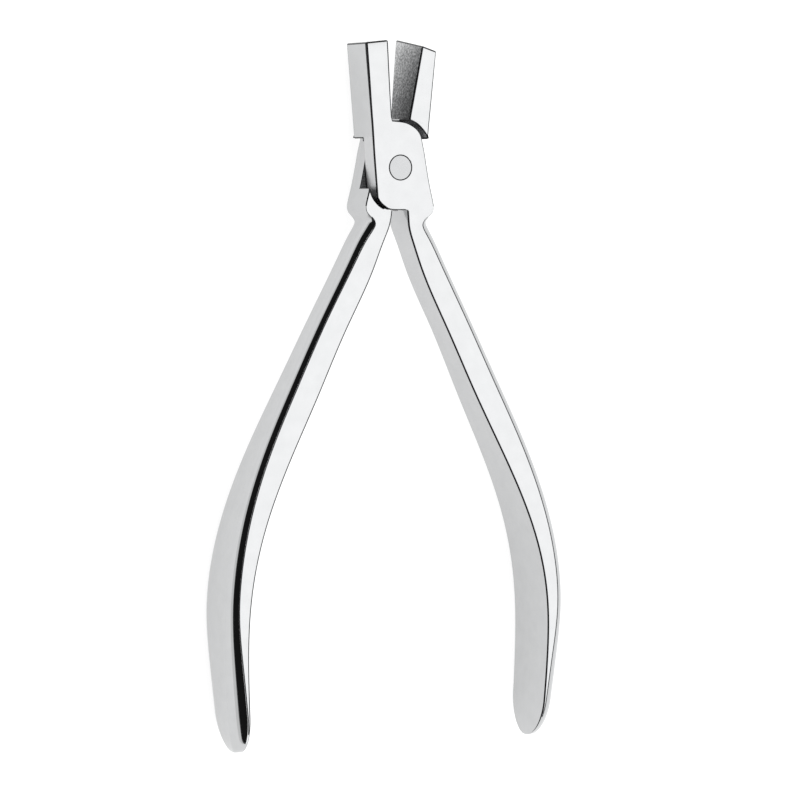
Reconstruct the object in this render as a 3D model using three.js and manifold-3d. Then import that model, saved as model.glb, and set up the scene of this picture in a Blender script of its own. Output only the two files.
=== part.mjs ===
// Crimping pliers with a flush lap joint: two forged halves and the rivet that they turn on.
// Millimetres. The pliers lie flat, +Z up: +Y runs from the pivot to the jaw tips and +X to the right.
// The origin is on the pivot axis, in the plane of the rear cheek.
//
// A half is drawn closed and as the front one: jaw on the left, cheek in front, handle on the right.
// The rear half is the same forging turned over about Y. Both then swing open about the pivot.

import * as THREE from 'three';
import { ParametricGeometry } from 'three/addons/geometries/ParametricGeometry.js';
import { mergeVertices } from 'three/addons/utils/BufferGeometryUtils.js';
import Module from 'manifold-3d';

// joint
const JOINT_THICKNESS = 8.6;
const MID = JOINT_THICKNESS / 2;
const LAP_GAP = 0.16;
const RIVET_RADIUS = 2.3;
const RIVET_CLEARANCE = 0.06;
const RIVET_CHAMFER = 0.15;
const OPEN_EACH_SIDE = 7;

// jaw
const JAW_ROOT_Y = 8.2;
const JAW_INNER_X = -0.7;
const JAW_OUTER_ROOT_X = -5.06;
const JAW_OUTER_TIP_X = -4.66;
const FLARE_START_Y = 10.2;
const FLARE_PER_MM = 0.12;
const JAW_EDGE = 0.25;
const FRONT_TIP = { height: 24.3, dropPerDepth: 0, dropPerSide: 0 };
const REAR_TIP = { height: 24.9, dropPerDepth: 0.13, dropPerSide: 0.16 };

// joint outlines, as points (x, y) of the half as drawn; the pocket is the space that the
// other half's cheek needs, and its arcs are the shoulders that the cheek turns between
const BLOCK_TOP_Y = 9.4;
const CHEEK_TOP_X = -4.9;
const NECK_INNER_X = 0.55;
const UPPER_ARC = [[-0.64, 9.03], [2.1, 8.38], [4.0, 7.15], [4.95, 5.75], [5.22, 4.2]];
const CHEEK_RIGHT = [
  [5.22, 4.2], [5.42, 2.2], [5.55, 0], [5.72, -2.6], [5.92, -4.75], [6.21, -7.1], [6.28, -8.15],
];
const LOWER_ARC = [[0.2, -8.15], [-2.9, -7.72], [-4.3, -6.8], [-5.06, -5.9], [-5.52, -4.95]];
const CHEEK_LEFT = [[-5.3, 3], [-5.06, 8.2]];
const TOE = [[-5.14, 6.45], [-4.95, 6.07], [-4.5, 5.95]];
const POCKET_UPPER_ARC = [[-0.7, 9.2], [-2.4, 8.66], [-4.0, 7.5], [-4.85, 6.4], [-5.2, 5.5]];
const POCKET_LOWER_ARC = [[1.1, -8.43], [3.05, -7.95], [4.62, -6.85], [5.55, -5.55], [5.92, -4.75]];
const POCKET_SLOT_X = -0.3;
const POCKET_NECK_X = 0.1;
const POCKET_REACH = 14;

// handle: distance below the pivot, inner face x, thickness, half depth, and the outer corners'
// radii across the thickness and across the depth
const HANDLE_STATIONS = [
  [8.15, 0.55, 5.73, 4.3, 0.22, 0.22],
  [8.8, 0.54, 5.62, 4.3, 0.24, 0.24],
  [9.5, 0.52, 5.26, 4.28, 0.5, 0.4],
  [10.2, 0.52, 4.84, 4.2, 1.3, 1.1],
  [11.3, 0.58, 4.55, 4.05, 2.6, 2.1],
  [12.8, 0.85, 4.65, 3.85, 3.1, 2.6],
  [14.6, 1.3, 5.0, 3.7, 3.0, 2.6],
  [20, 2.65, 5.65, 3.6, 2.7, 2.4],
  [32, 6.8, 5.95, 3.6, 2.5, 2.3],
  [45, 11.15, 6.2, 4.1, 2.7, 2.4],
  [57, 15.4, 6.0, 4.85, 2.8, 2.5],
  [69, 19.05, 5.35, 5.85, 2.9, 2.8],
  [79, 20.75, 4.7, 6.6, 3.0, 3.0],
  [88, 20.9, 4.15, 6.9, 3.2, 3.2],
  [97, 19.9, 3.6, 6.8, 4.0, 4.0],
  [113.6, 16.9, 2.8, 6.3, 4.4, 4.6],
];
const HANDLE_START = 8.15;
const HANDLE_END = 113.6;
const BLEND_LENGTH = 3;
const ROUND_END_LENGTH = 7.5;
const END_THINNING = 0.65;
const INNER_EDGE_AT_START = 0.22;
const INNER_EDGE = 0.3;
const CREASE_DEG = 25;
const NECK_RINGS = 12;
const HANDLE_RINGS = 36;

const wasm = await Module();
wasm.setup();

function toSolid(geometry) {
  const plain = geometry.clone();
  plain.deleteAttribute('normal');
  plain.deleteAttribute('uv');
  const merged = mergeVertices(plain, 1e-4);
  return new wasm.Manifold(new wasm.Mesh({
    numProp: 3,
    vertProperties: new Float32Array(merged.attributes.position.array),
    triVerts: new Uint32Array(withoutCollapsed(merged.index.array)),
  }));
}

// Where a loft closes on one point, a row of its triangles has no width and is left out.
function withoutCollapsed(index) {
  const kept = [];
  for (let i = 0; i < index.length; i += 3) {
    const [a, b, c] = [index[i], index[i + 1], index[i + 2]];
    if (a !== b && b !== c && c !== a) kept.push(a, b, c);
  }
  return kept;
}

function toGeometry(solid) {
  const { vertProperties, triVerts } = solid.getMesh();
  const geometry = new THREE.BufferGeometry();
  geometry.setAttribute('position', new THREE.BufferAttribute(vertProperties, 3));
  geometry.setIndex(new THREE.BufferAttribute(triVerts, 1));
  geometry.computeVertexNormals();
  return geometry;
}

function plate(shape, bottom, top) {
  const depth = top - bottom;
  const geometry = new THREE.ExtrudeGeometry(shape, { depth, bevelEnabled: false, curveSegments: 10 });
  geometry.translate(0, 0, bottom);
  return toSolid(geometry);
}

function smoothShape(stretches) {
  const path = new THREE.Shape();
  path.moveTo(...stretches[0][0]);
  for (const stretch of stretches) {
    const points = stretch.map(([x, y]) => new THREE.Vector2(x, y));
    path.lineTo(points[0].x, points[0].y);
    if (points.length > 1) path.splineThru(points.slice(1));
  }
  return path;
}

// A closed solid through a row of rings. ring(t) gives the points of the ring at t, from 0 to 1.
function loft(ring, steps) {
  const sides = ring(0).length;
  const rows = steps + 2;
  const surface = (u, v, target) => {
    const row = Math.round(v * rows);
    const points = ring(THREE.MathUtils.clamp(row - 1, 0, steps) / steps);
    if (row === 0 || row === rows) {
      target.set(0, 0, 0);
      points.forEach((point) => target.add(point));
      target.divideScalar(sides);
    } else {
      target.copy(points[(sides - Math.round(u * sides)) % sides]);
    }
  };
  return toSolid(new ParametricGeometry(surface, sides, rows));
}

// jaw ---------------------------------------------------------------------------------------------

function jaw(tip) {
  const ring = (t) => {
    const y = THREE.MathUtils.lerp(JAW_ROOT_Y, tip.height, t);
    const along = (y - JAW_ROOT_Y) / (tip.height - JAW_ROOT_Y);
    const outerX = THREE.MathUtils.lerp(JAW_OUTER_ROOT_X, JAW_OUTER_TIP_X, along);
    const innerHalf = MID + Math.max(0, y - FLARE_START_Y) * FLARE_PER_MM;
    const corners = [
      [JAW_INNER_X, innerHalf - JAW_EDGE],
      [JAW_INNER_X - JAW_EDGE, innerHalf],
      [outerX + JAW_EDGE, MID],
      [outerX, MID - JAW_EDGE],
    ];
    const outline = [...corners, ...corners.toReversed().map(([x, z]) => [x, -z])];
    return outline.map(([x, z]) => {
      const drop = tip.dropPerDepth * (innerHalf - z) + tip.dropPerSide * (JAW_INNER_X - x);
      return new THREE.Vector3(x, y - drop * t, MID + z);
    });
  };
  return loft(ring, 6);
}

// cheek -------------------------------------------------------------------------------------------

// The whole in-plane outline of the joint, from the root of the jaw to the root of the handle.
function cheek() {
  return smoothShape([
    [[CHEEK_TOP_X, BLOCK_TOP_Y]],
    [[JAW_INNER_X, BLOCK_TOP_Y]],
    UPPER_ARC,
    CHEEK_RIGHT,
    [[NECK_INNER_X, -HANDLE_START]],
    LOWER_ARC,
    ...CHEEK_LEFT.map((point) => [point]),
  ]);
}

// The blocks that carry jaw and handle on through the rear half of the thickness.
function shoulderBlocks() {
  const upper = smoothShape([
    [[JAW_INNER_X, BLOCK_TOP_Y]],
    [[CHEEK_TOP_X, BLOCK_TOP_Y]],
    [CHEEK_LEFT.at(-1)],
    TOE,
    [[JAW_INNER_X, TOE.at(-1)[1]]],
  ]);
  const lower = smoothShape([
    CHEEK_RIGHT,
    [[NECK_INNER_X, -HANDLE_START]],
    [[NECK_INNER_X, CHEEK_RIGHT[0][1]]],
  ]);
  return { upper, lower };
}

function pocket() {
  const [arcTop, arcBottom] = [POCKET_UPPER_ARC.at(-1), POCKET_LOWER_ARC.at(-1)];
  return smoothShape([
    [[POCKET_SLOT_X, POCKET_REACH]],
    [[POCKET_SLOT_X, POCKET_UPPER_ARC[0][1]]],
    POCKET_UPPER_ARC,
    [[-POCKET_REACH, arcTop[1]]],
    [[-POCKET_REACH, -POCKET_REACH]],
    [[POCKET_NECK_X, -POCKET_REACH]],
    [[POCKET_NECK_X, POCKET_LOWER_ARC[0][1]]],
    POCKET_LOWER_ARC,
    [[POCKET_REACH, arcBottom[1]]],
    [[POCKET_REACH, POCKET_REACH]],
  ]);
}

// handle ------------------------------------------------------------------------------------------

const stationCurve = new THREE.CubicInterpolant(
  HANDLE_STATIONS.map((station) => station[0]),
  HANDLE_STATIONS.flatMap((station) => station.slice(1)),
  5,
);

function handleAt(distance) {
  const [x, thickness, halfDepth, acrossRadius, depthRadius] = stationCurve.evaluate(distance);
  return { x, thickness, halfDepth, acrossRadius, depthRadius };
}

// A section across the handle. It leaves the joint as a plain block and ends rounded.
// The flat front and rear meet the rounded outer corners in a crease.
function handleRing(distance) {
  const here = handleAt(distance);
  const leaving = Math.min(1, (distance - HANDLE_START) / BLEND_LENGTH);
  const slope = ((handleAt(distance + 0.05).x - here.x) / 0.05) * leaving;
  const outward = new THREE.Vector2(1, slope).normalize();
  const intoEnd = Math.max(0, (distance - HANDLE_END + ROUND_END_LENGTH) / ROUND_END_LENGTH);
  const round = Math.sqrt(1 - Math.min(intoEnd, 0.998) ** 2);
  const thin = 1 - END_THINNING * (1 - round);
  const depthLimit = distance < HANDLE_START + BLEND_LENGTH ? MID : Infinity;
  const halfDepth = Math.min(here.halfDepth, depthLimit) * round;
  const thickness = here.thickness * thin;
  const across = here.acrossRadius * thin;
  const depth = here.depthRadius * round;
  const edge = THREE.MathUtils.lerp(INNER_EDGE_AT_START, INNER_EDGE, leaving) * round;
  const crease = THREE.MathUtils.degToRad(CREASE_DEG * leaving);
  const corner = Math.atan((Math.tan(crease) * here.acrossRadius) / here.depthRadius);

  const quarter = [[0, halfDepth - edge], [edge * 0.3, halfDepth - edge * 0.3], [edge, halfDepth]];
  for (let part = 0; part <= 4; part += 1) {
    const turn = THREE.MathUtils.lerp(corner, Math.PI / 2, part / 4);
    const out = thickness - across * (1 - Math.sin(turn));
    quarter.push([out, halfDepth - depth * (Math.cos(corner) - Math.cos(turn))]);
  }
  const outline = [...quarter, ...quarter.toReversed().map(([out, z]) => [out, -z])];
  return outline.map(([out, z]) => new THREE.Vector3(
    here.x + out * outward.x,
    -distance + out * outward.y,
    MID + z,
  ));
}

function handle() {
  const neckEnd = HANDLE_START + 1.5 * BLEND_LENGTH;
  const ring = (t) => {
    const step = t * (NECK_RINGS + HANDLE_RINGS);
    if (step <= NECK_RINGS) {
      return handleRing(THREE.MathUtils.lerp(HANDLE_START, neckEnd, step / NECK_RINGS));
    }
    const eased = Math.sin(((step - NECK_RINGS) / HANDLE_RINGS) * (Math.PI / 2));
    return handleRing(THREE.MathUtils.lerp(neckEnd, HANDLE_END - 0.02, eased));
  };
  return loft(ring, NECK_RINGS + HANDLE_RINGS);
}

// one half ----------------------------------------------------------------------------------------

function rivetHole() {
  const radius = RIVET_RADIUS + RIVET_CLEARANCE;
  const hole = new THREE.CylinderGeometry(radius, radius, 2 * JOINT_THICKNESS, 48);
  hole.rotateX(Math.PI / 2);
  hole.translate(0, 0, MID);
  return toSolid(hole);
}

function half(tip) {
  const blocks = shoulderBlocks();
  const body = plate(cheek(), MID, JOINT_THICKNESS)
    .add(plate(blocks.upper, 0, JOINT_THICKNESS))
    .add(plate(blocks.lower, 0, JOINT_THICKNESS))
    .add(jaw(tip))
    .add(handle())
    .subtract(plate(pocket(), -POCKET_REACH, MID + LAP_GAP / 2))
    .subtract(rivetHole());
  return toGeometry(body);
}

function rivet() {
  const profile = [
    [0, 0],
    [RIVET_RADIUS - RIVET_CHAMFER, 0],
    [RIVET_RADIUS, RIVET_CHAMFER],
    [RIVET_RADIUS, JOINT_THICKNESS - RIVET_CHAMFER],
    [RIVET_RADIUS - RIVET_CHAMFER, JOINT_THICKNESS],
    [0, JOINT_THICKNESS],
  ];
  const geometry = new THREE.LatheGeometry(profile.map(([x, y]) => new THREE.Vector2(x, y)), 48);
  geometry.rotateX(Math.PI / 2);
  return geometry;
}

// assembly ----------------------------------------------------------------------------------------

function steel(color, roughness) {
  return new THREE.MeshStandardMaterial({ color, roughness, metalness: 1 });
}

function part(name, geometry, material) {
  const mesh = new THREE.Mesh(geometry, material);
  mesh.name = name;
  return mesh;
}

const open = THREE.MathUtils.degToRad(OPEN_EACH_SIDE);

const frontHalf = part('front_half', half(FRONT_TIP), steel(0xe6e7e8, 0.12));
frontHalf.rotation.z = open;

const rearHalf = part('rear_half', half(REAR_TIP), steel(0xe6e7e8, 0.12));
rearHalf.rotation.y = Math.PI;
rearHalf.position.z = JOINT_THICKNESS;
const rearSwing = new THREE.Group();
rearSwing.rotation.z = -open;
rearSwing.add(rearHalf);

const pivotRivet = part('pivot_rivet', rivet(), steel(0xd6d7d8, 0.2));

const pliers = new THREE.Group();
pliers.add(frontHalf, rearSwing, pivotRivet);

export default pliers;
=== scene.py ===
import math

import bmesh
import bpy
import numpy as np
from mathutils import Matrix, Vector


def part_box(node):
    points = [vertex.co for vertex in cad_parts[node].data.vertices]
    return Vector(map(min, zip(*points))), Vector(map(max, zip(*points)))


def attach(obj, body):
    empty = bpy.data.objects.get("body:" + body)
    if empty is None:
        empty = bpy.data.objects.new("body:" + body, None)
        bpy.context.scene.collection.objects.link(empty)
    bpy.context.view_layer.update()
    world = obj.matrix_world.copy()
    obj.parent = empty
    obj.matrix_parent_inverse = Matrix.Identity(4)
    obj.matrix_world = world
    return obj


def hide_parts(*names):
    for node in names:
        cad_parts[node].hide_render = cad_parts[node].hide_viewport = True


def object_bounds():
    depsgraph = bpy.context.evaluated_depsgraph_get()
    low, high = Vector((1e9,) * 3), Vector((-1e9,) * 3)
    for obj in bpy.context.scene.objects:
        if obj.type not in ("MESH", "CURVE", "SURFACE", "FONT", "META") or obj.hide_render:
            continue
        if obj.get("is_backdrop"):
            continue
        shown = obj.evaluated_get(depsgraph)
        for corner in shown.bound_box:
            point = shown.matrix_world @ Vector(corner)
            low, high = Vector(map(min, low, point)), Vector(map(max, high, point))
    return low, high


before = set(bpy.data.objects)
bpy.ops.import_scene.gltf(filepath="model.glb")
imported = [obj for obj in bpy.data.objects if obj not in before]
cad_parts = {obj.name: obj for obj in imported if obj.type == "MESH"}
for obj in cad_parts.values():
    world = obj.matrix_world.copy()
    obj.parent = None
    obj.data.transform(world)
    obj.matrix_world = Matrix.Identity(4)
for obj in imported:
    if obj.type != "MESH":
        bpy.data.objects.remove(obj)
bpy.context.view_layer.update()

# ---------------------------------------------------------------- sizes, in millimetres
# A half is drawn closed and as the front one: jaw on the left, cheek in front (+Z), handle on the
# right, with the pivot on the Z axis. The rear half is the same shape turned over about Y.
MM = 0.001
JOINT_THICKNESS = 8.6
MID = JOINT_THICKNESS / 2
LAP_GAP = 0.16
RIVET_RADIUS = 2.3
RIVET_CHAMFER = 0.12
HOLE_RADIUS = 2.36
OPEN_EACH_SIDE = math.radians(7)

JAW_ROOT_Y = 8.2
JAW_INNER_X = -0.7
JAW_OUTER_ROOT_X = -5.06
JAW_OUTER_TIP_X = -4.66
FLARE_START_Y = 10.2
FLARE_PER_MM = 0.12
FRONT_TIP = {"height": 24.3, "drop_per_depth": 0.0, "drop_per_side": 0.0}
REAR_TIP = {"height": 24.9, "drop_per_depth": 0.13, "drop_per_side": 0.16}

# Joint outlines, as points (x, y) of the half as drawn. The pocket is the space that the other
# half's cheek needs, and its arcs are the shoulders that the cheek turns between. The toe is the
# lower end of the upper shoulder's block, and starts on the straight line of CHEEK_LEFT.
BLOCK_TOP_Y = 9.4
CHEEK_TOP_X = -4.9
NECK_INNER_X = 0.55
UPPER_ARC = [(-0.64, 9.03), (2.1, 8.38), (4.0, 7.15), (4.95, 5.75), (5.22, 4.2)]
CHEEK_RIGHT = [
    (5.22, 4.2), (5.42, 2.2), (5.55, 0), (5.72, -2.6), (5.92, -4.75), (6.21, -7.1), (6.28, -8.15)]
LOWER_ARC = [(0.2, -8.15), (-2.9, -7.72), (-4.3, -6.8), (-5.06, -5.9), (-5.52, -4.95)]
CHEEK_LEFT = [(-5.3, 3), (-5.06, 8.2)]
TOE = [(-5.1408, 6.45), (-4.95, 6.07), (-4.5, 5.95)]
POCKET_UPPER_ARC = [(-0.7, 9.2), (-2.4, 8.66), (-4.0, 7.5), (-4.85, 6.4), (-5.2, 5.5)]
POCKET_LOWER_ARC = [(1.1, -8.43), (3.05, -7.95), (4.62, -6.85), (5.55, -5.55), (5.92, -4.75)]
POCKET_SLOT_X = -0.3
POCKET_NECK_X = 0.1
POCKET_REACH = 14.0

# Handle: distance below the pivot, inner face x, thickness, half depth, and the outer corners'
# radii across the thickness and across the depth.
HANDLE_STATIONS = np.array([
    (8.15, 0.55, 5.73, 4.3, 0.22, 0.22),
    (8.8, 0.54, 5.62, 4.3, 0.24, 0.24),
    (9.5, 0.52, 5.26, 4.28, 0.5, 0.4),
    (10.2, 0.52, 4.84, 4.2, 1.3, 1.1),
    (11.3, 0.58, 4.55, 4.05, 2.6, 2.1),
    (12.8, 0.85, 4.65, 3.85, 3.1, 2.6),
    (14.6, 1.3, 5.0, 3.7, 3.0, 2.6),
    (20, 2.65, 5.65, 3.6, 2.7, 2.4),
    (32, 6.8, 5.95, 3.6, 2.5, 2.3),
    (45, 11.15, 6.2, 4.1, 2.7, 2.4),
    (57, 15.4, 6.0, 4.85, 2.8, 2.5),
    (69, 19.05, 5.35, 5.85, 2.9, 2.8),
    (79, 20.75, 4.7, 6.6, 3.0, 3.0),
    (88, 20.9, 4.15, 6.9, 3.2, 3.2),
    (97, 19.9, 3.6, 6.8, 4.0, 4.0),
    (113.6, 16.9, 2.8, 6.3, 4.4, 4.6),
])
HANDLE_START = 8.15
HANDLE_END = 113.6
BLEND_LENGTH = 3
JOINT_DEPTH_UNTIL = 12
NECK_END = 12.5
GRIP_START = 13
ROUND_END_LENGTH = 7.5
END_THINNING = 0.65
SLOPE_STEP = 0.02

# The flat front meets the rounded outer corner in a crease, with a narrow strip along it that the
# edge finish paints dark, as painted reflection.
CREASE = math.radians(25)
CREASE_LINE = 0.1
CREASE_LINE_SLOPE = 0.35
CREASE_MARGIN = 0.01

# Where the finishes lie on the drawn half, in millimetres.
ARCS_NEAR = 5
ARCS_FAR = 10.2
JAW_FACE_FROM_Y = 8.5
TOE_FINISH_Y = (5.9, 6.4)
TOE_FINISH_X = -4.4
SATIN_Y = (-5.2, 5.9)
SHOULDERS_FROM_Y = 5
NECK_SHOULDER_X = 0.4
INNER_LINE_FROM_Y = -8.3
CREASE_LINE_Y = (-110, -10)

# Where the rounding of the edges changes. A growth is the y where it starts and the length, along
# the jaw, over which it grows.
OUTER_SIDE_FROM_Y = -4.8
OUTER_SIDE_DEPTH = 2
OUTER_GROWTH = (13, 6)
JAW_GROWTH = (9.6, 2.4)
JAW_LENGTH = 16.4
TOE_ROUNDING_Y = (5, 7.2)
TOE_ROUNDING_X = -4.2
LAP_REACH_Y = 9.5
SHOULDER_REACH_Y = 9

# Widths of the rounding on the edges, in millimetres.
EDGE_RADIUS = 0.32
JOINT_EDGE = 0.2
OUTER_EDGE = 0.30
WIDEST_EDGE = 0.38
THIN_EDGE = 0.12

# Angles between two faces from which their edge is rounded, and from which it is shaded sharp.
ROUNDED_FROM = math.radians(30)
SHARP_ON_JOINT = math.radians(12)
SHARP_ON_HANDLE = math.radians(38)

# Steps along the curves, and the distances under which two points count as one.
CURVE_STEPS = 14
TOE_STEPS = 6
JAW_RINGS = 25
NECK_RINGS = 22
GRIP_RINGS = 150
END_RINGS = 26
INNER_EDGE_STEPS = 4
OUTER_CORNER_STEPS = 16
HOLE_SIDES = 96
RIVET_SIDES = 120
SAME_OUTLINE_POINT = 0.004
SAME_LOFT_POINT = 0.0005
SAME_CUT_POINT = 0.003
SAME_ROUNDED_POINT = 0.002

SLOTS = ["polished", "edge", "blasted", "ground", "shoulder", "satin"]

# ---------------------------------------------------------------- light and camera
# Brightness of the light all round, by the angle about Y in degrees from the front (+Z), negative
# to the left.
STUDIO_STOPS = [
    (-180, 0.6), (-76, 0.55), (-72, 0.008), (-21, 0.008),
    (-18, 1.0), (72, 1.0), (77, 0.66), (180, 0.6)]
STUDIO_STRENGTH = 1.68
FLOOR_HALF_SIDE_M = 2.5
FLOOR_GAP_M = 0.00002
FLOOR_GLOW = 0.9

# The camera's angles run from the front to the left and upward. Its distance and its shifts to the
# right and upward are in millimetres, from the front end of the rivet.
CAMERA_AZIMUTH = math.radians(26.11)
CAMERA_ELEVATION = math.radians(3.30)
CAMERA_ROLL = math.radians(0.58)
CAMERA_LENS = 166.5
CAMERA_SENSOR = 36.0
CAMERA_DISTANCE = 703.0
CAMERA_RIGHT = -0.11
CAMERA_UP = -44.17


# ---------------------------------------------------------------- curves
def smooth(points, steps=CURVE_STEPS):
    """Catmull-Rom curve through the points, without its first point."""
    points = [np.array(p, float) for p in points]
    out = []
    last = len(points) - 1
    for i in range(last):
        p0, p1 = points[max(i - 1, 0)], points[i]
        p2, p3 = points[i + 1], points[min(i + 2, last)]
        v0, v1 = (p2 - p0) / 2, (p3 - p1) / 2
        for k in range(1, steps + 1):
            t = k / steps
            out.append((2 * p1 - 2 * p2 + v0 + v1) * t ** 3
                       + (3 * p2 - 3 * p1 - 2 * v0 - v1) * t ** 2 + v0 * t + p1)
    return [tuple(p) for p in out]


def outline(stretches, steps=CURVE_STEPS):
    """Closed outline. Each stretch is smooth in itself and meets the next in a corner."""
    points = []
    for stretch in stretches:
        points.append(tuple(stretch[0]))
        if len(stretch) > 1:
            points += smooth(stretch, steps)
    kept = []
    for p in points:
        if not kept or math.dist(p, kept[-1]) > SAME_OUTLINE_POINT:
            kept.append(p)
    return kept


def natural_spline(xs, ys):
    """Natural cubic spline through the rows of ys: a curve with no jump in its bending."""
    n = len(xs)
    h = np.diff(xs)
    balance = np.eye(n)
    bends = np.zeros_like(ys)
    for i in range(1, n - 1):
        balance[i, i - 1:i + 2] = h[i - 1], 2 * (h[i - 1] + h[i]), h[i]
        bends[i] = 6 * ((ys[i + 1] - ys[i]) / h[i] - (ys[i] - ys[i - 1]) / h[i - 1])
    m = np.linalg.solve(balance, bends)

    def at(x):
        i = min(max(int(np.searchsorted(xs, x)) - 1, 0), n - 2)
        u, v = xs[i + 1] - x, x - xs[i]
        return (m[i] * u ** 3 + m[i + 1] * v ** 3) / (6 * h[i]) \
            + (ys[i] / h[i] - m[i] * h[i] / 6) * u + (ys[i + 1] / h[i] - m[i + 1] * h[i] / 6) * v
    return at


handle_at = natural_spline(HANDLE_STATIONS[:, 0], HANDLE_STATIONS[:, 1:])


def handle_slope(distance):
    """How fast the handle's inner face moves outward with the distance below the pivot."""
    ahead, behind = handle_at(distance + SLOPE_STEP)[0], handle_at(distance - SLOPE_STEP)[0]
    return (ahead - behind) / (2 * SLOPE_STEP)


def ramp(value, start, length):
    """0 before the start, 1 a length further on, and straight between."""
    return min(max((value - start) / length, 0), 1)


# ---------------------------------------------------------------- solids
def new_object(name, bm):
    mesh = bpy.data.meshes.new(name)
    bm.normal_update()
    bm.to_mesh(mesh)
    bm.free()
    obj = bpy.data.objects.new(name, mesh)
    bpy.context.scene.collection.objects.link(obj)
    return obj


def loft(name, rings):
    """A closed solid through rings of points, each running the same way round."""
    bm = bmesh.new()
    rows = [[bm.verts.new(p) for p in ring] for ring in rings]
    n = len(rows[0])
    for a, b in zip(rows, rows[1:]):
        for i in range(n):
            j = (i + 1) % n
            bm.faces.new((a[i], a[j], b[j], b[i]))
    bm.faces.new(rows[0])
    bm.faces.new(rows[-1])
    bmesh.ops.remove_doubles(bm, verts=bm.verts, dist=SAME_LOFT_POINT)
    bmesh.ops.recalc_face_normals(bm, faces=bm.faces)
    return new_object(name, bm)


def plate(name, points, low, high):
    """A flat solid with the outline given by the points, from one height to another."""
    return loft(name, [[(x, y, z) for x, y in points] for z in (low, high)])


def combine(base, other, operation):
    """Adds the other solid to the base, or cuts it away, and removes it from the scene."""
    mod = base.modifiers.new("join", "BOOLEAN")
    mod.operation = operation
    mod.object = other
    mod.solver = "MANIFOLD"
    apply_modifiers(base)
    bpy.data.objects.remove(other, do_unlink=True)


def apply_modifiers(obj):
    """Replaces the object's mesh by what its modifiers make of it."""
    depsgraph = bpy.context.evaluated_depsgraph_get()
    mesh = bpy.data.meshes.new_from_object(obj.evaluated_get(depsgraph))
    old = obj.data
    obj.modifiers.clear()
    obj.data = mesh
    bpy.data.meshes.remove(old)


# ---------------------------------------------------------------- the parts of a half
def jaw(tip):
    """A flat bar whose gripping face widens towards the tip."""
    rings = []
    for t in np.linspace(0, 1, JAW_RINGS):
        y = JAW_ROOT_Y + (tip["height"] - JAW_ROOT_Y) * t
        outer = JAW_OUTER_ROOT_X + (JAW_OUTER_TIP_X - JAW_OUTER_ROOT_X) * t
        inner_half = MID + max(0.0, y - FLARE_START_Y) * FLARE_PER_MM
        front = [(JAW_INNER_X, inner_half), (outer, MID)]
        ring = []
        for x, z in front + [(x, -z) for x, z in reversed(front)]:
            slant = tip["drop_per_depth"] * (inner_half - z)
            drop = slant + tip["drop_per_side"] * (JAW_INNER_X - x)
            ring.append((x, y - drop * t, MID + z))
        rings.append(ring)
    return loft("jaw", rings)


def handle_quarter(thickness, half_depth, across, depth, edge, corner, line):
    """A quarter of a section, from the inner face round the front to the outer side, as points
    (out, z): a small rounded edge, the flat front, the crease's line and the outer corner."""
    points = []
    for turn in np.linspace(0, math.pi / 2, INNER_EDGE_STEPS + 1):
        points.append((edge * (1 - math.cos(turn)), half_depth - edge * (1 - math.sin(turn))))
    crease_out = thickness - across * (1 - math.sin(corner))
    points.append((crease_out - line - CREASE_MARGIN, half_depth))
    points.append((crease_out + line, half_depth - CREASE_LINE_SLOPE * line))
    for turn in np.linspace(corner, math.pi / 2, OUTER_CORNER_STEPS + 1)[1:]:
        out = thickness - across * (1 - math.sin(turn))
        points.append((out, half_depth - depth * (math.cos(corner) - math.cos(turn))))
    return points


def handle_ring(distance):
    """A section across the handle, which leaves the joint as a plain block and ends rounded."""
    x, thickness, half_depth, across, depth = handle_at(distance)
    leaving = min(1.0, (distance - HANDLE_START) / BLEND_LENGTH)
    if distance < JOINT_DEPTH_UNTIL:
        half_depth = min(half_depth, MID)
    corner = math.atan(math.tan(CREASE * leaving) * across / depth)
    into_end = max(0.0, (distance - HANDLE_END + ROUND_END_LENGTH) / ROUND_END_LENGTH)
    swell = math.sqrt(1 - into_end ** 2)
    thin = 1 - END_THINNING * (1 - swell)
    quarter = handle_quarter(thickness * thin, half_depth * swell, across * thin, depth * swell,
                             EDGE_RADIUS * swell, corner, CREASE_LINE * leaving)
    slope = handle_slope(distance) * leaving
    outward = np.array((1, slope)) / math.hypot(1, slope)
    ring = quarter + [(out, -z) for out, z in reversed(quarter)]
    return [(x + out * outward[0], -distance + out * outward[1], MID + z) for out, z in ring]


def handle():
    """The whole handle, with its sections closest together at the neck and in the rounded end."""
    neck = np.linspace(HANDLE_START, NECK_END, NECK_RINGS)
    grip = np.linspace(GRIP_START, HANDLE_END - ROUND_END_LENGTH, GRIP_RINGS)
    turns = np.radians(np.linspace(4, 88, END_RINGS))
    rounded_end = HANDLE_END - ROUND_END_LENGTH * (1 - np.sin(turns))
    return loft("handle", [handle_ring(d) for d in (*neck, *grip, *rounded_end)])


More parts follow.
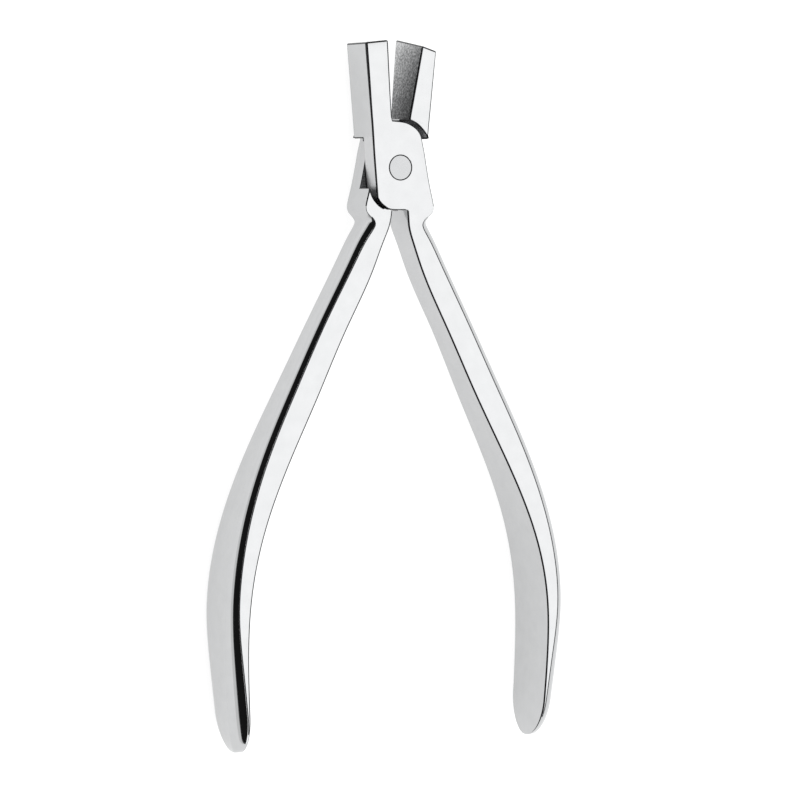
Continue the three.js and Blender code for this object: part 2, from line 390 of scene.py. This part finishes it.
def half(name, tip):
    """One forging, in the drawn frame and with sharp edges."""
    neck = [(NECK_INNER_X, -HANDLE_START)]
    cheek = outline([
        [(CHEEK_TOP_X, BLOCK_TOP_Y)],
        [(JAW_INNER_X, BLOCK_TOP_Y)],
        UPPER_ARC,
        CHEEK_RIGHT,
        neck,
        LOWER_ARC,
        *[[p] for p in CHEEK_LEFT],
    ])
    upper = outline([
        [(JAW_INNER_X, BLOCK_TOP_Y)],
        [(CHEEK_TOP_X, BLOCK_TOP_Y)],
        [CHEEK_LEFT[-1]],
        TOE,
        [(JAW_INNER_X, TOE[-1][1])],
    ], TOE_STEPS)
    lower = outline([CHEEK_RIGHT, neck, [(NECK_INNER_X, CHEEK_RIGHT[0][1])]])
    pocket = outline([
        [(POCKET_SLOT_X, POCKET_REACH)],
        [(POCKET_SLOT_X, POCKET_UPPER_ARC[0][1])],
        POCKET_UPPER_ARC,
        [(-POCKET_REACH, POCKET_UPPER_ARC[-1][1])],
        [(-POCKET_REACH, -POCKET_REACH)],
        [(POCKET_NECK_X, -POCKET_REACH)],
        [(POCKET_NECK_X, POCKET_LOWER_ARC[0][1])],
        POCKET_LOWER_ARC,
        [(POCKET_REACH, POCKET_LOWER_ARC[-1][1])],
        [(POCKET_REACH, POCKET_REACH)],
    ])
    circle = [(HOLE_RADIUS * math.cos(a), HOLE_RADIUS * math.sin(a))
              for a in np.linspace(0, 2 * math.pi, HOLE_SIDES, endpoint=False)]
    body = plate(name, cheek, MID, JOINT_THICKNESS)
    for extra in (plate("upper", upper, 0, JOINT_THICKNESS),
                  plate("lower", lower, 0, JOINT_THICKNESS), jaw(tip), handle()):
        combine(body, extra, "UNION")
    combine(body, plate("pocket", pocket, -POCKET_REACH, MID + LAP_GAP / 2), "DIFFERENCE")
    combine(body, plate("hole", circle, -1, JOINT_THICKNESS + 1), "DIFFERENCE")
    return body


# ---------------------------------------------------------------- surfaces of a half
def across_handle(normal, distance):
    """How far a direction points outward from the handle's inner face, from -1 to 1."""
    slope = handle_slope(distance)
    return (normal.x + normal.y * slope) / math.hypot(1, slope)


def joint_finish(n, c):
    """The slot of a joint face with normal n and centre c, or None where it has no finish of its
    own. The arcs are upright faces round the pivot, facing it or away from it."""
    radius = math.hypot(c.x, c.y)
    upright = abs(n.z) < 0.1
    on_arcs = ARCS_NEAR < radius < ARCS_FAR and upright
    away_from_pivot = (n.x * c.x + n.y * c.y) / max(radius, 0.01)
    if abs(n.z) > 0.99 and abs(c.z - MID) < LAP_GAP:
        return "ground"
    on_toe = c.x < TOE_FINISH_X and TOE_FINISH_Y[0] < c.y < TOE_FINISH_Y[1]
    # The toe's lower face takes the edge finish, painted dark as painted shade.
    if on_arcs and on_toe and n.y < -0.3:
        return "edge"
    if n.x < -0.9 and SATIN_Y[0] < c.y < SATIN_Y[1] and c.z > MID:
        return "satin"
    if on_arcs and c.z < MID and away_from_pivot < -0.7:
        return "shoulder"
    beside_neck = c.y < -SHOULDERS_FROM_Y and c.x < NECK_SHOULDER_X
    beside_jaw_or_neck = c.y > SHOULDERS_FROM_Y or beside_neck
    if on_arcs and c.z > MID and away_from_pivot > 0.85 and beside_jaw_or_neck:
        return "shoulder"
    if radius < HOLE_RADIUS + 0.05 and upright:
        return "ground"
    return None


def handle_finish(n, c):
    """The slot of a handle face: the edge finish paints dark lines, a painted reflection, along its
    inner edge and along its crease.
    """
    if c.y >= INNER_LINE_FROM_Y:
        return None
    outward = across_handle(n, -c.y)
    on_inner_edge = -0.97 < outward < -0.12 and abs(n.z) > 0.2
    on_crease = 0.05 < outward < 0.29 and abs(n.z) > 0.9
    beside_crease = CREASE_LINE_Y[0] < c.y < CREASE_LINE_Y[1]
    return "edge" if on_inner_edge or (on_crease and beside_crease) else None


def name_faces(bm):
    """Gives every face of a half, in the drawn frame, the slot of its finish."""
    for face in bm.faces:
        n, c = face.normal, face.calc_center_median()
        on_jaw_face = n.x > 0.99 and c.y > JAW_FACE_FROM_Y and abs(c.x - JAW_INNER_X) < 0.05
        finish = "blasted" if on_jaw_face else joint_finish(n, c) or handle_finish(n, c) or "polished"
        face.material_index = SLOTS.index(finish)


def edge_width(edge):
    """Width of the rounding on an edge: thin round the hole, up the shoulders, on the toe and on
    the lap face, and widest along the outside of the jaw."""
    x, y, z = (edge.verts[0].co + edge.verts[1].co) / 2
    along = edge.verts[0].co - edge.verts[1].co
    round_hole = math.hypot(x, y) < HOLE_RADIUS + 0.1
    up_a_shoulder = abs(along.z) > 0.9 * along.length and abs(y) < SHOULDER_REACH_Y
    if round_hole or up_a_shoulder:
        return THIN_EDGE
    up_jaw = max(0, y - JAW_ROOT_Y) / JAW_LENGTH
    outer_x = JAW_OUTER_ROOT_X + (JAW_OUTER_TIP_X - JAW_OUTER_ROOT_X) * up_jaw
    on_outer_side = x < outer_x + 0.25 and y > OUTER_SIDE_FROM_Y and abs(z - MID) > OUTER_SIDE_DEPTH
    if on_outer_side and abs(along.y) > 4 * abs(along.z):
        return OUTER_EDGE + (WIDEST_EDGE - OUTER_EDGE) * ramp(y, *OUTER_GROWTH)
    in_toe = x < TOE_ROUNDING_X and TOE_ROUNDING_Y[0] < y < TOE_ROUNDING_Y[1] and z < MID
    on_lap = abs(z - MID) < LAP_GAP and abs(y) < LAP_REACH_Y
    if in_toe or on_lap:
        return THIN_EDGE
    return JOINT_EDGE + (EDGE_RADIUS - JOINT_EDGE) * ramp(y, *JAW_GROWTH)


def inside_flat_face(edge):
    """True for an edge that only divides a flat face that is square to Z or X."""
    if len(edge.link_faces) != 2:
        return False
    a, b = (face.normal for face in edge.link_faces)
    return a.dot(b) > 0.9999995 and (abs(a.z) > 0.9999 or abs(a.x) > 0.9999)


def mark_edges(bm):
    """Gives the corner edges of jaw and joint the width of their rounding. The handle's section
    is rounded already."""
    weight = bm.edges.layers.float.new("bevel_weight_edge")
    for edge in bm.edges:
        if len(edge.link_faces) == 2 and edge.calc_face_angle(0) > ROUNDED_FROM:
            top = max(v.co.y for v in edge.verts)
            on_lap = all(abs(v.co.z - MID) < LAP_GAP for v in edge.verts)
            if on_lap or top > 0.01 - HANDLE_START:
                edge[weight] = edge_width(edge) / WIDEST_EDGE


def shade_smooth(obj):
    """Smooth shading up to the edges that are sharp, on the joint or on the handle."""
    bm = bmesh.new()
    bm.from_mesh(obj.data)
    bmesh.ops.remove_doubles(bm, verts=bm.verts, dist=SAME_ROUNDED_POINT)
    for face in bm.faces:
        face.smooth = True
    for edge in bm.edges:
        on_handle = all(v.co.y < 0.05 - HANDLE_START for v in edge.verts)
        edge.smooth = edge.calc_face_angle(0) < (SHARP_ON_HANDLE if on_handle else SHARP_ON_JOINT)
    bm.to_mesh(obj.data)
    bm.free()


def round_edges(obj, materials):
    """Names the faces, rounds the edges and shades a half, still in the drawn frame."""
    # The booleans leave an empty slot, which would put every finish one place off.
    obj.data.materials.clear()
    for material in materials:
        obj.data.materials.append(material)
    bm = bmesh.new()
    bm.from_mesh(obj.data)
    bmesh.ops.remove_doubles(bm, verts=bm.verts, dist=SAME_CUT_POINT)
    flat = [edge for edge in bm.edges if inside_flat_face(edge)]
    bmesh.ops.dissolve_edges(bm, edges=flat, use_verts=True)
    name_faces(bm)
    mark_edges(bm)
    bm.to_mesh(obj.data)
    bm.free()
    bevel = obj.modifiers.new("edges", "BEVEL")
    bevel.limit_method = "WEIGHT"
    bevel.width = WIDEST_EDGE
    bevel.segments = 3
    bevel.use_clamp_overlap = False
    # The rounded edges take the edge finish, whose dark colour is painted reflection.
    bevel.material = SLOTS.index("edge")
    apply_modifiers(obj)
    shade_smooth(obj)


def keep_in_box(mesh, low, high):
    """Moves any vertex that lies past the box back onto it."""
    for v in mesh.vertices:
        v.co = [min(max(c, a), b) for c, a, b in zip(v.co, low, high)]


def finish_piece(obj, node, body, place):
    """Puts a piece, drawn in millimetres, at its place on its body."""
    obj.data.transform(place)
    keep_in_box(obj.data, *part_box(node))
    normals = obj.modifiers.new("flat faces stay flat", "WEIGHTED_NORMAL")
    normals.weight = 90
    normals.keep_sharp = True
    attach(obj, body)
    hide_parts(node)


# ---------------------------------------------------------------- materials
class Nodes:
    """A material and short ways to add to its nodes, with lengths in millimetres."""

    def __init__(self, name, metallic=1.0):
        self.material = bpy.data.materials.new(name)
        self.material.use_nodes = True
        self.tree = self.material.node_tree
        self.shader = self.tree.nodes["Principled BSDF"]
        self.shader.inputs["Metallic"].default_value = metallic
        coords = self.add("ShaderNodeTexCoord")
        scaled = self.add("ShaderNodeVectorMath", operation="SCALE")
        scaled.inputs["Scale"].default_value = 1 / MM
        self.link(coords.outputs["Object"], scaled.inputs[0])
        self.mm = scaled.outputs[0]

    def add(self, kind, **settings):
        node = self.tree.nodes.new(kind)
        for key, value in settings.items():
            setattr(node, key, value)
        return node

    def link(self, a, b):
        self.tree.links.new(a, b)

    def noise(self, stretch=(1, 1, 1), turn=(0, 0, 0), scale=1.0, detail=2.0, rough=0.5):
        place = self.add("ShaderNodeMapping")
        place.inputs["Scale"].default_value = stretch
        place.inputs["Rotation"].default_value = [math.radians(a) for a in turn]
        self.link(self.mm, place.inputs["Vector"])
        noise = self.add("ShaderNodeTexNoise")
        noise.inputs["Scale"].default_value = scale
        noise.inputs["Detail"].default_value = detail
        noise.inputs["Roughness"].default_value = rough
        self.link(place.outputs[0], noise.inputs["Vector"])
        return noise.outputs["Fac"]

    def span(self, value, low, high, to_low=0.0, to_high=1.0):
        node = self.add("ShaderNodeMapRange")
        for key, number in (("From Min", low), ("From Max", high),
                            ("To Min", to_low), ("To Max", to_high)):
            node.inputs[key].default_value = number
        self.link(value, node.inputs["Value"])
        return node.outputs[0]

    def math(self, operation, a, b):
        node = self.add("ShaderNodeMath", operation=operation)
        for socket, value in zip(node.inputs, (a, b)):
            if isinstance(value, (int, float)):
                socket.default_value = value
            else:
                self.link(value, socket)
        return node.outputs[0]

    def mix(self, amount, a, b):
        """Colours the material from a to b by the amount."""
        node = self.add("ShaderNodeMix", data_type="RGBA")
        self.link(amount, node.inputs["Factor"])
        node.inputs["A"].default_value = (*a, 1)
        node.inputs["B"].default_value = (*b, 1)
        self.link(node.outputs["Result"], self.shader.inputs["Base Color"])

    def bump(self, height, millimetres, under=None):
        node = self.add("ShaderNodeBump")
        node.inputs["Strength"].default_value = 1.0
        node.inputs["Distance"].default_value = millimetres * MM
        self.link(height, node.inputs["Height"])
        if under is not None:
            self.link(under, node.inputs["Normal"])
        return node.outputs[0]


def scratches(n, turns):
    """Fine straight marks in a few directions: 1 on a mark, 0 between."""
    total = None
    for k, turn in enumerate(turns):
        lines = n.noise(stretch=(0.25, 7.0 + k, 7.0 + k), turn=turn, detail=3.0)
        marks = n.span(lines, 0.66, 0.74)
        total = marks if total is None else n.math("MAXIMUM", total, marks)
    return total


def polished_steel():
    """Mirror polish with a faint haze, a slight waviness and a few hairline marks."""
    n = Nodes("polished_steel")
    cloud = n.noise(scale=0.35, detail=4.0)
    n.mix(n.span(cloud, 0.3, 0.7), (0.510, 0.515, 0.520), (0.535, 0.540, 0.545))
    marks = scratches(n, ((0, 0, 84), (0, 0, 62), (12, 0, 100)))
    haze = n.span(n.noise(scale=0.16, detail=3.0), 0.3, 0.75, 0.056, 0.0945)
    n.link(n.math("ADD", haze, n.math("MULTIPLY", marks, 0.05)), n.shader.inputs["Roughness"])
    wavy = n.bump(n.noise(scale=0.14, detail=1.0), 0.004)
    n.link(n.bump(marks, 0.0004, wavy), n.shader.inputs["Normal"])
    return n.material


def painted_dark_edge_steel():
    """Painted reflection: the dark line that a polished edge shows, painted into its colour, with
    small nicks.
    """
    n = Nodes("edge_painted_dark_reflection")
    nicks = n.span(n.noise(scale=1.7, detail=4.0, rough=0.65), 0.58, 0.72)
    # The dark base is painted reflection; the paler nicks are wear.
    n.mix(nicks, (0.03, 0.031, 0.032), (0.12, 0.122, 0.125))
    n.link(n.span(nicks, 0, 1, 0.2, 0.34), n.shader.inputs["Roughness"])
    n.link(n.bump(n.noise(scale=1.1, detail=3.0), 0.006), n.shader.inputs["Normal"])
    return n.material


def blasted_steel():
    """Coarse grey grain, with painted light and shade: paler towards the jaw's tip and rear side,
    darker towards its root and front, where the other jaw shades it.
    """
    n = Nodes("blasted_steel")
    grain = n.noise(scale=2.3, detail=3.0, rough=0.75)
    patch = n.noise(scale=0.3, detail=2.0)
    place = n.add("ShaderNodeSeparateXYZ")
    n.link(n.mm, place.inputs[0])
    # Painted light and shade: up pales the face towards the jaw's tip, back pales it towards its rear
    # side.
    up = n.span(place.outputs["Y"], 8, 25, -0.02, 0.48)
    back = n.span(place.outputs["Z"], 10, -1, -0.1, 0.2)
    fine = n.span(grain, 0.36, 0.64, 0.02, 0.46)
    speckle = n.math("ADD", fine, n.span(patch, 0.3, 0.7, 0.0, 0.08))
    pale = n.math("ADD", speckle, n.math("ADD", up, back))
    n.mix(n.math("MULTIPLY", pale, pale), (0.04, 0.041, 0.043), (0.62, 0.625, 0.63))
    n.link(n.span(grain, 0.3, 0.7, 0.55, 0.40), n.shader.inputs["Roughness"])
    pits = n.noise(scale=5.5, detail=2.0, rough=0.6)
    n.link(n.bump(pits, 0.02, n.bump(grain, 0.06)), n.shader.inputs["Normal"])
    return n.material


def satin_steel():
    """The narrow outer side of the cheek, left from the linishing belt."""
    n = Nodes("satin_steel")
    lines = n.noise(stretch=(6.0, 0.4, 6.0), detail=3.0, rough=0.6)
    n.mix(n.span(lines, 0.3, 0.7), (0.56, 0.565, 0.57), (0.62, 0.625, 0.63))
    n.link(n.span(lines, 0.3, 0.7, 0.36, 0.46), n.shader.inputs["Roughness"])
    n.link(n.bump(lines, 0.002), n.shader.inputs["Normal"])
    return n.material


def ground_steel(name, dark, light, turn):
    """Fine parallel grinding lines, turned to run along the face."""
    n = Nodes(name)
    lines = n.noise(stretch=(0.35, 9.0, 9.0), turn=turn, detail=4.0, rough=0.6)
    n.mix(n.span(lines, 0.3, 0.7), dark, light)
    n.link(n.span(lines, 0.3, 0.7, 0.22, 0.42), n.shader.inputs["Roughness"])
    n.link(n.bump(lines, 0.004), n.shader.inputs["Normal"])
    return n.material


def rivet_steel():
    """Satin end faces, with the fine rings that facing in a lathe leaves."""
    n = Nodes("rivet_steel")
    flat = n.add("ShaderNodeVectorMath", operation="MULTIPLY")
    flat.inputs[1].default_value = (1, 1, 0)
    n.link(n.mm, flat.inputs[0])
    reach = n.add("ShaderNodeVectorMath", operation="LENGTH")
    n.link(flat.outputs[0], reach.inputs[0])
    rings = n.math("SINE", n.math("MULTIPLY", reach.outputs["Value"], 42.0), 0.0)
    cloud = n.noise(scale=0.9, detail=4.0)
    n.mix(n.span(cloud, 0.3, 0.7), (0.42, 0.425, 0.43), (0.44, 0.445, 0.45))
    n.link(n.span(cloud, 0.3, 0.7, 0.20, 0.30), n.shader.inputs["Roughness"])
    marks = n.noise(stretch=(0.4, 8, 8), turn=(0, 0, 30), detail=3.0)
    n.link(n.bump(marks, 0.0008, n.bump(rings, 0.0003)), n.shader.inputs["Normal"])
    return n.material


# ---------------------------------------------------------------- the three pieces
def rivet():
    """A straight round pin with slightly rounded ends."""
    profile = [(0.001, 0), (RIVET_RADIUS * 0.5, 0), (RIVET_RADIUS - RIVET_CHAMFER - 0.05, 0)]
    for a in np.linspace(0.1, math.pi / 2, 6):
        radius = RIVET_RADIUS - RIVET_CHAMFER * (1 - math.sin(a))
        profile.append((radius, RIVET_CHAMFER * (1 - math.cos(a))))
    profile += [(r, JOINT_THICKNESS - z) for r, z in reversed(profile)]
    turns = np.linspace(0, 2 * math.pi, RIVET_SIDES, endpoint=False)
    rings = [[(r * math.cos(a), r * math.sin(a), z) for a in turns] for r, z in profile]
    obj = loft("rivet", rings)
    for face in obj.data.polygons:
        face.use_smooth = True
    return obj


# In the order of SLOTS.
half_materials = [
    polished_steel(),
    painted_dark_edge_steel(),
    blasted_steel(),
    # The ground finish of the lap face and the hole is dark partly from an oil film and partly from
    # painted shade, where the halves overlap.
    ground_steel("lap_ground_oil_and_painted_shade", (0.09, 0.092, 0.095), (0.19, 0.192, 0.196), (0, 0, 80)),
    ground_steel("shoulder_steel", (0.2, 0.2, 0.204), (0.5, 0.5, 0.505), (0, 90, 0)),
    satin_steel(),
]

to_metres = Matrix.Scale(MM, 4)
swing_front = Matrix.Rotation(OPEN_EACH_SIDE, 4, "Z")
swing_rear = Matrix.Rotation(-OPEN_EACH_SIDE, 4, "Z")
turn_over = Matrix.Translation((0, 0, JOINT_THICKNESS)) @ Matrix.Rotation(math.pi, 4, "Y")

front = half("front_half_forging", FRONT_TIP)
round_edges(front, half_materials)
finish_piece(front, "front_half", "front_lever", to_metres @ swing_front)

rear = half("rear_half_forging", REAR_TIP)
round_edges(rear, half_materials)
finish_piece(rear, "rear_half", "rear_lever",
             to_metres @ swing_rear @ turn_over)

pin = rivet()
pin.data.materials.append(rivet_steel())
finish_piece(pin, "pivot_rivet", "rear_lever", to_metres)


# ---------------------------------------------------------------- floor, light and camera
def floor():
    """A plain pale ground just under the pliers."""
    low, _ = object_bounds()
    bm = bmesh.new()
    bmesh.ops.create_grid(bm, x_segments=1, y_segments=1, size=FLOOR_HALF_SIDE_M)
    obj = new_object("floor", bm)
    obj.location = (0, 0, low[2] - FLOOR_GAP_M)
    n = Nodes("pale_floor", metallic=0.0)
    n.shader.inputs["Roughness"].default_value = 0.9
    n.shader.inputs["Specular IOR Level"].default_value = 0.0
    n.mix(n.noise(scale=0.02, detail=2.0), (0.24, 0.24, 0.24), (0.26, 0.26, 0.26))
    n.shader.inputs["Emission Color"].default_value = (1, 1, 1, 1)
    n.shader.inputs["Emission Strength"].default_value = FLOOR_GLOW
    obj.data.materials.append(n.material)
    obj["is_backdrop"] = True


def studio():
    """Soft light all round, brightest in front and on the right, with a dark side on the left."""
    world = bpy.data.worlds.new("studio")
    bpy.context.scene.world = world
    world.use_nodes = True
    tree = world.node_tree
    back = tree.nodes["Background"]
    coords = tree.nodes.new("ShaderNodeTexCoord")
    split = tree.nodes.new("ShaderNodeSeparateXYZ")
    tree.links.new(coords.outputs["Generated"], split.inputs[0])
    angle = tree.nodes.new("ShaderNodeMath")
    angle.operation = "ARCTAN2"
    tree.links.new(split.outputs["X"], angle.inputs[0])
    tree.links.new(split.outputs["Z"], angle.inputs[1])
    place = tree.nodes.new("ShaderNodeMapRange")
    place.inputs["From Min"].default_value = -math.pi
    place.inputs["From Max"].default_value = math.pi
    tree.links.new(angle.outputs[0], place.inputs["Value"])
    shades = tree.nodes.new("ShaderNodeValToRGB")
    tree.links.new(place.outputs[0], shades.inputs[0])
    tree.links.new(shades.outputs[0], back.inputs["Color"])
    elements = shades.color_ramp.elements
    while len(elements) > 1:
        elements.remove(elements[-1])
    for i, (degrees, level) in enumerate(STUDIO_STOPS):
        where = (degrees + 180) / 360
        stop = elements[0] if i == 0 else elements.new(where)
        stop.position = where
        stop.color = (level, level, level, 1)
    back.inputs["Strength"].default_value = STUDIO_STRENGTH


def soft_light(name, place, size, power):
    """A round lamp, aimed at the pivot, that no polished face mirrors."""
    data = bpy.data.lights.new(name, "AREA")
    data.shape = "DISK"
    data.size = size
    data.energy = power
    obj = bpy.data.objects.new(name, data)
    bpy.context.scene.collection.objects.link(obj)
    obj.location = place
    obj.rotation_euler = (-Vector(place)).to_track_quat("-Z", "Y").to_euler()
    obj.visible_glossy = False


def camera():
    """Looks at the joint from its left, a little from above the jaws' end."""
    level_reach = math.cos(CAMERA_ELEVATION)
    back = Vector((-math.sin(CAMERA_AZIMUTH) * level_reach, math.sin(CAMERA_ELEVATION),
                   math.cos(CAMERA_AZIMUTH) * level_reach))
    level = Vector((0, 1, 0)).cross(back).normalized()
    upright = back.cross(level)
    right = level * math.cos(CAMERA_ROLL) + upright * math.sin(CAMERA_ROLL)
    up = upright * math.cos(CAMERA_ROLL) - level * math.sin(CAMERA_ROLL)
    joint = Vector((0, 0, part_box("pivot_rivet")[1][2]))
    data = bpy.data.cameras.new("camera")
    data.lens = CAMERA_LENS
    data.sensor_width = CAMERA_SENSOR
    obj = bpy.data.objects.new("camera", data)
    bpy.context.scene.collection.objects.link(obj)
    place = joint + (back * CAMERA_DISTANCE + right * CAMERA_RIGHT + up * CAMERA_UP) * MM
    turn = Matrix((right, up, back)).transposed().to_4x4()
    obj.matrix_world = Matrix.Translation(place) @ turn
    bpy.context.scene.camera = obj


floor()
studio()
soft_light("soft_key", (0.5, 0.35, 1.1), 0.7, 2.0)
camera()
bpy.context.scene.view_settings.view_transform = "Standard"
